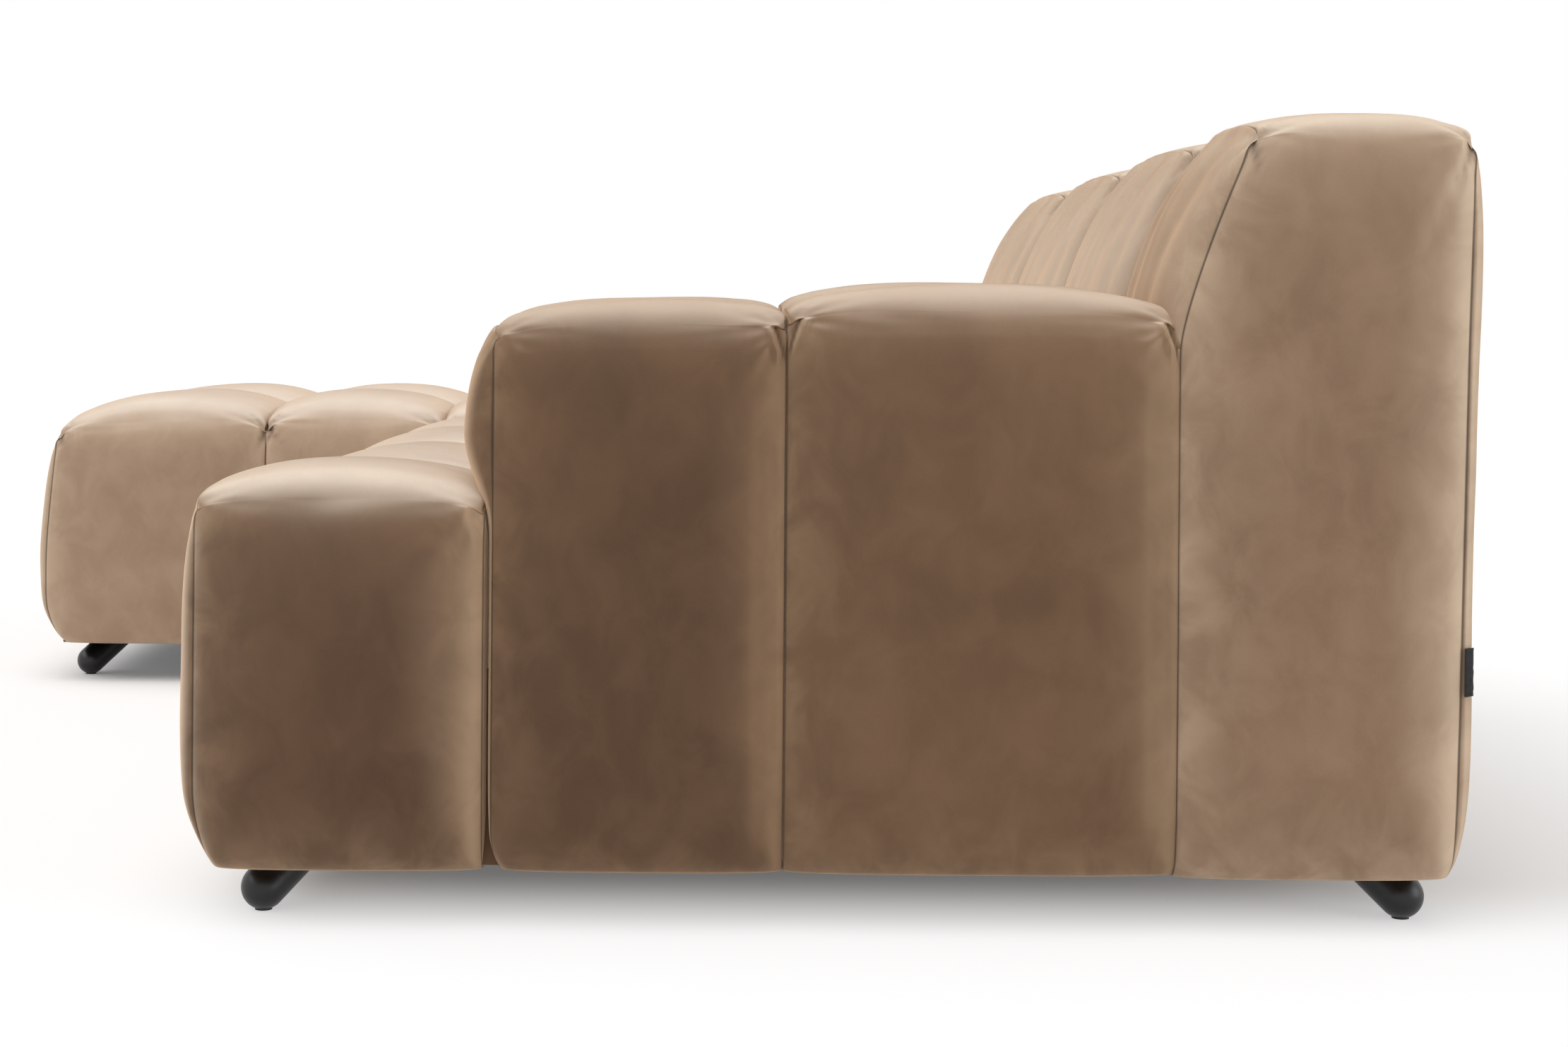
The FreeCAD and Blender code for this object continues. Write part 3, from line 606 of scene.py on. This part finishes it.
class Finish:
    """One material, or the world round the sofa, built from nodes."""

    def __init__(self, holder):
        self.holder = holder
        holder.use_nodes = True
        self.tree = holder.node_tree
        self.tree.nodes.clear()

    def add(self, kind, settings=None, sockets=None, output=0):
        node = self.tree.nodes.new("ShaderNode" + kind)
        for name, value in (settings or {}).items():
            setattr(node, name, value)
        for name, value in (sockets or {}).items():
            if isinstance(value, Socket):
                self.tree.links.new(value.socket, node.inputs[name])
            else:
                node.inputs[name].default_value = value
        return Socket(self, node.outputs[output]) if node.outputs else None

    def place(self, stretch=(1, 1, 1)):
        spot = self.add("TexCoord", output=3)
        return self.add("Mapping", None, {"Vector": spot, "Scale": stretch})

    def noise(self, scale, detail=2.0, rough=0.5, warp=0.0, stretch=(1, 1, 1)):
        return self.add("TexNoise", None, {"Vector": self.place(stretch), "Scale": scale, "Detail": detail,
                                           "Roughness": rough, "Distortion": warp})

    def ramp(self, value, low, high):
        return self.add("MapRange", {"interpolation_type": "SMOOTHSTEP"},
                        {"Value": value, "From Min": low, "From Max": high})

    def blend(self, share, first, second):
        return self.add("Mix", {"data_type": "RGBA"}, {0: share, 6: first, 7: second}, output=2)

    def mark(self, name):
        """A value stored on the points of a padded piece."""
        return self.add("Attribute", {"attribute_name": name}, output=2)

    def facing(self, axis, low, high):
        """How far the surface faces along an axis, eased between two limits."""
        normal = self.add("NewGeometry", output="Normal")
        return self.ramp(self.add("SeparateXYZ", None, {0: normal}, output=axis), low, high)

    def bump(self, height, strength, distance):
        return self.add("Bump", None, {"Height": height, "Strength": strength, "Distance": distance})

    def seen(self):
        """1 where the camera looks straight at it, or sees it in gloss or through glass."""
        straight = self.add("LightPath", output="Is Camera Ray")
        gloss = self.add("LightPath", output="Is Glossy Ray")
        through = self.add("LightPath", output="Is Transmission Ray")
        return self.add("Math", {"operation": "MINIMUM"}, {0: straight + gloss + through, 1: 1.0})

    def close(self, **sockets):
        names = {name.replace("_", " "): value for name, value in sockets.items()}
        surface = self.add("BsdfPrincipled", None, names)
        self.add("OutputMaterial", None, {"Surface": surface})
        return self.holder


def tint(*levels):
    """A colour given as the eye sees it, red, green and blue from 0 to 255, turned into light."""
    def linear(level):
        level = level / 255
        return level / 12.92 if level <= 0.04045 else ((level + 0.055) / 1.055) ** 2.4
    return tuple(linear(level) for level in levels) + (1.0,)


# Dark and pale pile away from the arm side, and the painted shade of a crease
PILE_DARK = (130, 103, 80)
PILE_PALE = (160, 134, 110)
CREASE_DARK = (44, 30, 20)
CREASE_SHARE = 0.8
CREASE_LIMITS = (0.15, 0.95)
SHEEN_TINT = (255, 220, 184)
SHEEN_WEIGHT = 0.85
SHEEN_ROUGHNESS = 0.34
PILE_ROUGHNESS = 0.9
# Changes per metre of the brush-marked patches, the strokes and the grain of the pile
PATCH_SCALE = 4.5
PATCH_LIMITS = (0.3, 0.7)
STROKE_SCALE = 20
STROKE_LIMITS = (0.3, 0.72)
STROKE_STRETCH = (1, 1, 0.8)
GRAIN_SCALE = 520
# What each of them adds to the tone
PATCH_SHARE = 0.42
STROKE_SHARE = 0.33
GRAIN_SHARE = 0.25
# Limits between which a surface counts as facing the arm side, up, forward or to the rear
ARM_SIDE_LIMITS = (0.25, 0.75)
UP_LIMITS = (0.2, 1.0)
FORWARD_LIMITS = (-0.35, -1.0)
REAR_LIMITS = (0.1, 0.5)
# Shares of painted light at the shoulders and on slopes to the rear
SHOULDER_LIGHT_SHARE = 0.2
REAR_LIGHT_SHARE = 0.45
# Shares of the painted highlight beside a seam and of the painted light on tops and forward faces: what is
# even, and what the pattern adds
SEAM_HIGHLIGHT_EVEN, SEAM_HIGHLIGHT_STROKES = 0.15, 0.25
TOP_LIGHT_EVEN, TOP_LIGHT_PATTERN = 0.85, 0.2
# Relief of the pile: share of the strokes, strength and height
RELIEF_STROKES = 0.4
RELIEF_STRENGTH = 0.3
RELIEF_HEIGHT = 0.0012


def velvet(name, shaded_side_dark, shaded_side_pale, edge_light_tone, top_light_tone, front_light):
    """Short-pile velvet with brush-marked patches; painted shade on faces to the arm side, painted light on
    tops, forward faces, shoulders and rear slopes, painted highlight beside seams and lower edges, and
    painted shade in creases.
    """
    finish = Finish(bpy.data.materials.new(name))
    patches = finish.ramp(finish.noise(PATCH_SCALE, 2, 0.5, 0.5), *PATCH_LIMITS)
    strokes = finish.ramp(finish.noise(STROKE_SCALE, 3, 0.6, 0.5, STROKE_STRETCH), *STROKE_LIMITS)
    grain = finish.noise(GRAIN_SCALE, 2, 0.6)
    share = patches * PATCH_SHARE + strokes * STROKE_SHARE + grain * GRAIN_SHARE
    sideways = finish.facing("X", *ARM_SIDE_LIMITS)
    upward = finish.facing("Z", *UP_LIMITS)
    forward = finish.facing("Y", *FORWARD_LIMITS)
    rearward = finish.facing("Y", *REAR_LIMITS) * sideways
    # Faces to the arm side take darker tones, set per piece: painted shade for faces turned from the lamps
    shaded = finish.blend(share, tint(*shaded_side_dark), tint(*shaded_side_pale))
    pile_with_side_shade = finish.blend(sideways, finish.blend(share, tint(*PILE_DARK), tint(*PILE_PALE)), shaded)
    # Painted highlight beside seams and lower edges, painted light at the tops of the sides and on slopes to
    # the rear
    seam_highlight = finish.mark("edge") * (strokes * SEAM_HIGHLIGHT_STROKES + SEAM_HIGHLIGHT_EVEN)
    edge_light_share = seam_highlight + finish.mark("shoulder") * SHOULDER_LIGHT_SHARE + rearward * REAR_LIGHT_SHARE
    edge_lit = finish.blend(edge_light_share, pile_with_side_shade, tint(*edge_light_tone))
    # Painted light on tops and, per piece, on forward faces
    top_and_front_light = finish.add("Math", {"operation": "MAXIMUM"},
                        {0: upward * upward * upward, 1: forward * front_light})
    lit = finish.blend(top_and_front_light * (share * TOP_LIGHT_PATTERN + TOP_LIGHT_EVEN), edge_lit, tint(*top_light_tone))
    # Painted shade in seams, tucks, darts and pleat valleys
    crease = finish.ramp(finish.mark("crease"), *CREASE_LIMITS) * CREASE_SHARE
    colour = finish.blend(crease, lit, tint(*CREASE_DARK))
    pile = finish.bump(grain + strokes * RELIEF_STROKES, RELIEF_STRENGTH, RELIEF_HEIGHT)
    return finish.close(Base_Color=colour, Roughness=PILE_ROUGHNESS, Normal=pile,
                        Sheen_Weight=SHEEN_WEIGHT, Sheen_Roughness=SHEEN_ROUGHNESS,
                        Sheen_Tint=tint(*SHEEN_TINT))


# Change of gloss across a plain finish, the limits of its two tones and the strength of its grain
GLOSS_CHANGE = 0.12
TONE_LIMITS = (0.3, 0.7)
GRAIN_STRENGTH = 0.2


def plain(name, dark, pale, scale, roughness, metallic=0.0, stretch=(1, 1, 1), lift=0.0004):
    """A finish of two close tones with uneven gloss and a fine grain."""
    finish = Finish(bpy.data.materials.new(name))
    grain = finish.noise(scale, 4, 0.6, 0.4, stretch)
    share = finish.ramp(grain, *TONE_LIMITS)
    return finish.close(Base_Color=finish.blend(share, tint(*dark), tint(*pale)),
                        Roughness=roughness + grain * GLOSS_CHANGE - GLOSS_CHANGE / 2, Metallic=metallic,
                        Normal=finish.bump(grain, GRAIN_STRENGTH, lift))


# Per piece, lit and shaded copies of one velvet: dark and pale painted shade on the arm side, painted edge
# light, painted top light, painted light share facing forward
VELVETS = {
    "seat_block": ((72, 48, 30), (98, 70, 47), (180, 151, 121), (230, 214, 197), 0.2),
    "arm_front": ((74, 50, 31), (100, 73, 49), (154, 124, 95), (198, 179, 161), 0.0),
    "arm_rear": ((86, 61, 40), (114, 86, 61), (166, 138, 109), (204, 185, 167), 0.0),
    "back_channel_1": ((120, 93, 70), (148, 121, 97), (218, 194, 168), (224, 207, 188), 0.05),
    "back": ((120, 93, 70), (148, 121, 97), (192, 166, 140), (224, 207, 188), 0.5),
    "seat_column": ((136, 109, 85), (164, 138, 113), (190, 164, 138), (228, 212, 196), 0.2),
    "chaise": ((150, 122, 98), (180, 154, 130), (200, 175, 149), (230, 214, 198), 0.2),
}
velvets = {name: velvet(f"velvet_{name}", *tones) for name, tones in VELVETS.items()}
for piece in soft_pieces:
    kind = next(name for name in velvets if piece.name.startswith(name))
    piece.data.materials.append(velvets[kind])

FINISHES = {
    "timber": plain("beech", (176, 138, 98), (204, 168, 126), 30, 0.6, stretch=(0.15, 1, 1)),
    "plywood": plain("birch_ply", (196, 162, 118), (220, 190, 150), 24, 0.6, stretch=(0.2, 1, 1)),
    "hardboard": plain("hardboard", (112, 80, 52), (134, 100, 68), 160, 0.7),
    "webbing": plain("elastic_webbing", (40, 38, 36), (70, 66, 62), 300, 0.85, stretch=(1, 0.2, 1)),
    "felt": plain("grey_felt", (120, 118, 114), (160, 158, 152), 220, 0.95),
    "dust_cloth": plain("black_dust_cloth", (22, 22, 23), (38, 38, 40), 260, 0.95),
    "foot_black": plain("satin_black", (9, 8, 9), (17, 16, 18), 90, 0.38, lift=0.0001),
    "glide_nylon": plain("black_nylon", (26, 26, 27), (42, 42, 43), 140, 0.5),
    "steel": plain("zinc_steel", (150, 152, 154), (186, 188, 190), 60, 0.4, 0.9),
    "label_cloth": plain("woven_tab", (18, 18, 19), (44, 43, 43), 900, 0.9, stretch=(1, 1, 0.3)),
}


def slot_of(name):
    """The slot of a solid, read from its name."""
    if name.endswith(("foot_front_left", "foot_front_right", "foot_rear_left", "foot_rear_right")):
        return "foot_black"
    words = (("webbing", "webbing"), ("felt", "felt"), ("dust", "dust_cloth"), ("label", "label_cloth"),
             ("glides", "glide_nylon"), ("foot_plate", "steel"), ("module_link", "steel"),
             ("rear_panel", "hardboard"), ("upright", "plywood"), ("arm_", "plywood"))
    for word, slot in words:
        if word in name and "rail" not in name:
            return slot
    return "timber"


for name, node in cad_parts.items():
    node.data.materials.clear()
    node.data.materials.append(FINISHES[slot_of(name)] if "padding" not in name else velvets["arm_front"])


# Trim

def trim_piece(name, points, faces, material):
    """A piece without padding, riding on the sofa."""
    mesh = bpy.data.meshes.new(name)
    mesh.from_pydata(points, [], faces)
    mesh.polygons.foreach_set("use_smooth", [True] * len(mesh.polygons))
    mesh.materials.append(material)
    piece = bpy.data.objects.new(name, mesh)
    bpy.context.collection.objects.link(piece)
    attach(piece, "root")
    return piece


def make_base_band(name, rails):
    """A closed strip of cover fabric drawn round the rails under the cushions."""
    boxes = [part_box(rail) for rail in rails]
    low = [min(box[0][axis] for box in boxes) - BAND_ROOM for axis in range(2)]
    high = [max(box[1][axis] for box in boxes) + BAND_ROOM for axis in range(2)]
    corners = [(low[0], low[1]), (high[0], low[1]), (high[0], high[1]), (low[0], high[1])]
    centre = [(low[axis] + high[axis]) / 2 for axis in range(2)]
    points = []
    for inset, height in ((0, BAND_LOW), (0, BAND_HIGH), (BAND_THICK, BAND_HIGH), (BAND_THICK, BAND_LOW)):
        points += [(x - math.copysign(inset, x - centre[0]), y - math.copysign(inset, y - centre[1]), height)
                   for x, y in corners]
    faces = []
    for ring in range(4):
        start, following = ring * 4, (ring + 1) % 4 * 4
        for side in range(4):
            after = (side + 1) % 4
            faces.append((start + side, start + after, following + after, following + side))
    band = trim_piece(name, points, faces, velvets["arm_front"])
    soft = band.modifiers.new("soft_edges", "BEVEL")
    soft.width = BAND_THICK / 3
    soft.segments = 2


def make_label(cover):
    """A bare woven tab, folded over, sewn into the rear seam and lying flat on the cover."""
    low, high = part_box("label_tab")
    skin = np.empty(len(cover.data.vertices) * 3)
    cover.data.vertices.foreach_get("co", skin)
    skin = skin.reshape(-1, 3)
    skin = skin[skin[:, 0] > high.x - LABEL_SEARCH]
    points, faces = [], []
    for row in range(LABEL_ROWS + 1):
        height = low.z + (high.z - low.z) * row / LABEL_ROWS
        for layer in (1, -1):
            for place in range(LABEL_COLUMNS + 1)[::layer]:
                share = place / LABEL_COLUMNS
                along = low.y + (high.y - low.y) * share
                far = np.hypot(skin[:, 1] - along, skin[:, 2] - height)
                near = np.argsort(far)[:LABEL_NEAREST]
                face = np.average(skin[near, 0], weights=1 / (far[near] + LABEL_EASE))
                loose = LABEL_THICK * (0.5 + math.sin(math.pi * share))
                points.append((face + LABEL_OUT + layer * loose, along, height))
    ring = 2 * (LABEL_COLUMNS + 1)
    for row in range(LABEL_ROWS):
        for place in range(ring):
            after = (place + 1) % ring
            faces.append((row * ring + place, row * ring + after, (row + 1) * ring + after,
                          (row + 1) * ring + place))
    faces.append(tuple(reversed(range(ring))))
    faces.append(tuple(range(LABEL_ROWS * ring, (LABEL_ROWS + 1) * ring)))
    tab = trim_piece("label_cloth_tab", points, faces, FINISHES["label_cloth"])
    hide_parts("label_tab")


make_base_band("sofa_base_band", ("sofa_front_rail", "sofa_rear_rail", "sofa_arm_end_rail"))
make_base_band("chaise_base_band", ("chaise_front_rail", "chaise_rear_rail", "chaise_far_rail"))
make_label(bpy.data.objects["back_channel_1"])


# Floor, light and camera

WORLD_LIGHT = 0.36
FLOOR_REACH = 60.0
FLOOR_WHITE = (0.95, 0.95, 0.95, 1)
PURE_WHITE = (1, 1, 1, 1)
# Share of plain white in the floor where the camera sees it; the extra share from under the arm side outward
# is painted light that thins the shadow there
FLOOR_GLOW = 0.14
FLOOR_GLOW_MORE = 0.64
FLOOR_GLOW_FROM_TO = (0.98, 1.3)


def make_floor():
    """A wide white floor that takes the shadow, thinned by painted light from under the arm side outward."""
    mesh = bpy.data.meshes.new("floor")
    reach = FLOOR_REACH
    mesh.from_pydata([(-reach, -reach, 0), (reach, -reach, 0), (reach, reach, 0), (-reach, reach, 0)], [],
                     [(0, 1, 2, 3)])
    floor = bpy.data.objects.new("floor", mesh)
    bpy.context.collection.objects.link(floor)
    finish = Finish(bpy.data.materials.new("white_floor"))
    matt = finish.add("BsdfDiffuse", None, {"Color": FLOOR_WHITE})
    glow = finish.add("Emission", None, {"Color": PURE_WHITE, "Strength": 1.0})
    across = finish.add("SeparateXYZ", None, {0: finish.add("TexCoord", output=3)}, output=0)
    # Painted light that thins the floor shadow from under the arm side outward
    share = (finish.ramp(across, *FLOOR_GLOW_FROM_TO) * FLOOR_GLOW_MORE + FLOOR_GLOW) * finish.seen()
    surface = finish.add("MixShader", None, {0: share, 1: matt, 2: glow})
    finish.add("OutputMaterial", None, {"Surface": surface})
    mesh.materials.append(finish.holder)


def make_world():
    """Even light from all round, plain white where it is seen."""
    studio = bpy.data.worlds.new("studio")
    bpy.context.scene.world = studio
    finish = Finish(studio)
    lit = finish.add("Background", None, {"Color": PURE_WHITE, "Strength": WORLD_LIGHT})
    white = finish.add("Background", None, {"Color": PURE_WHITE, "Strength": 1.0})
    surface = finish.add("MixShader", None, {0: finish.seen(), 1: lit, 2: white})
    finish.add("OutputWorld", None, {"Surface": surface})


def make_sun(name, direction, strength, softness):
    """A soft lamp shining along a direction; its softness is given in degrees."""
    lamp = bpy.data.lights.new(name, "SUN")
    lamp.energy = strength
    lamp.angle = math.radians(softness)
    sun = bpy.data.objects.new(name, lamp)
    sun.rotation_euler = Vector(direction).to_track_quat("-Z", "Y").to_euler()
    bpy.context.collection.objects.link(sun)


CAMERA_PLACE = (3.625, 0.1405, 0.576)
CAMERA_LENS = 57.16
CAMERA_SENSOR = 36
CAMERA_SHIFT = (0.063, -0.124)
CAMERA_ROLL = 0.45


def make_camera():
    """The camera stands off the arm side and looks along the sofa."""
    camera = bpy.data.cameras.new("camera")
    camera.lens = CAMERA_LENS
    camera.sensor_width = CAMERA_SENSOR
    camera.shift_x, camera.shift_y = CAMERA_SHIFT
    stand = bpy.data.objects.new("camera", camera)
    stand.location = CAMERA_PLACE
    facing = Vector((-1, 0, 0)).to_track_quat("-Z", "Y").to_matrix()
    turn = facing.to_4x4() @ Matrix.Rotation(math.radians(CAMERA_ROLL), 4, "Z")
    stand.rotation_euler = turn.to_euler()
    bpy.context.collection.objects.link(stand)
    bpy.context.scene.camera = stand


make_floor()
make_world()
make_sun("overhead", (-0.25, 0.4, -1.0), 2.4, 75)
make_sun("from_the_rear", (-0.35, -1.0, -0.25), 0.8, 40)
make_camera()
bpy.context.scene.view_settings.view_transform = "Standard"
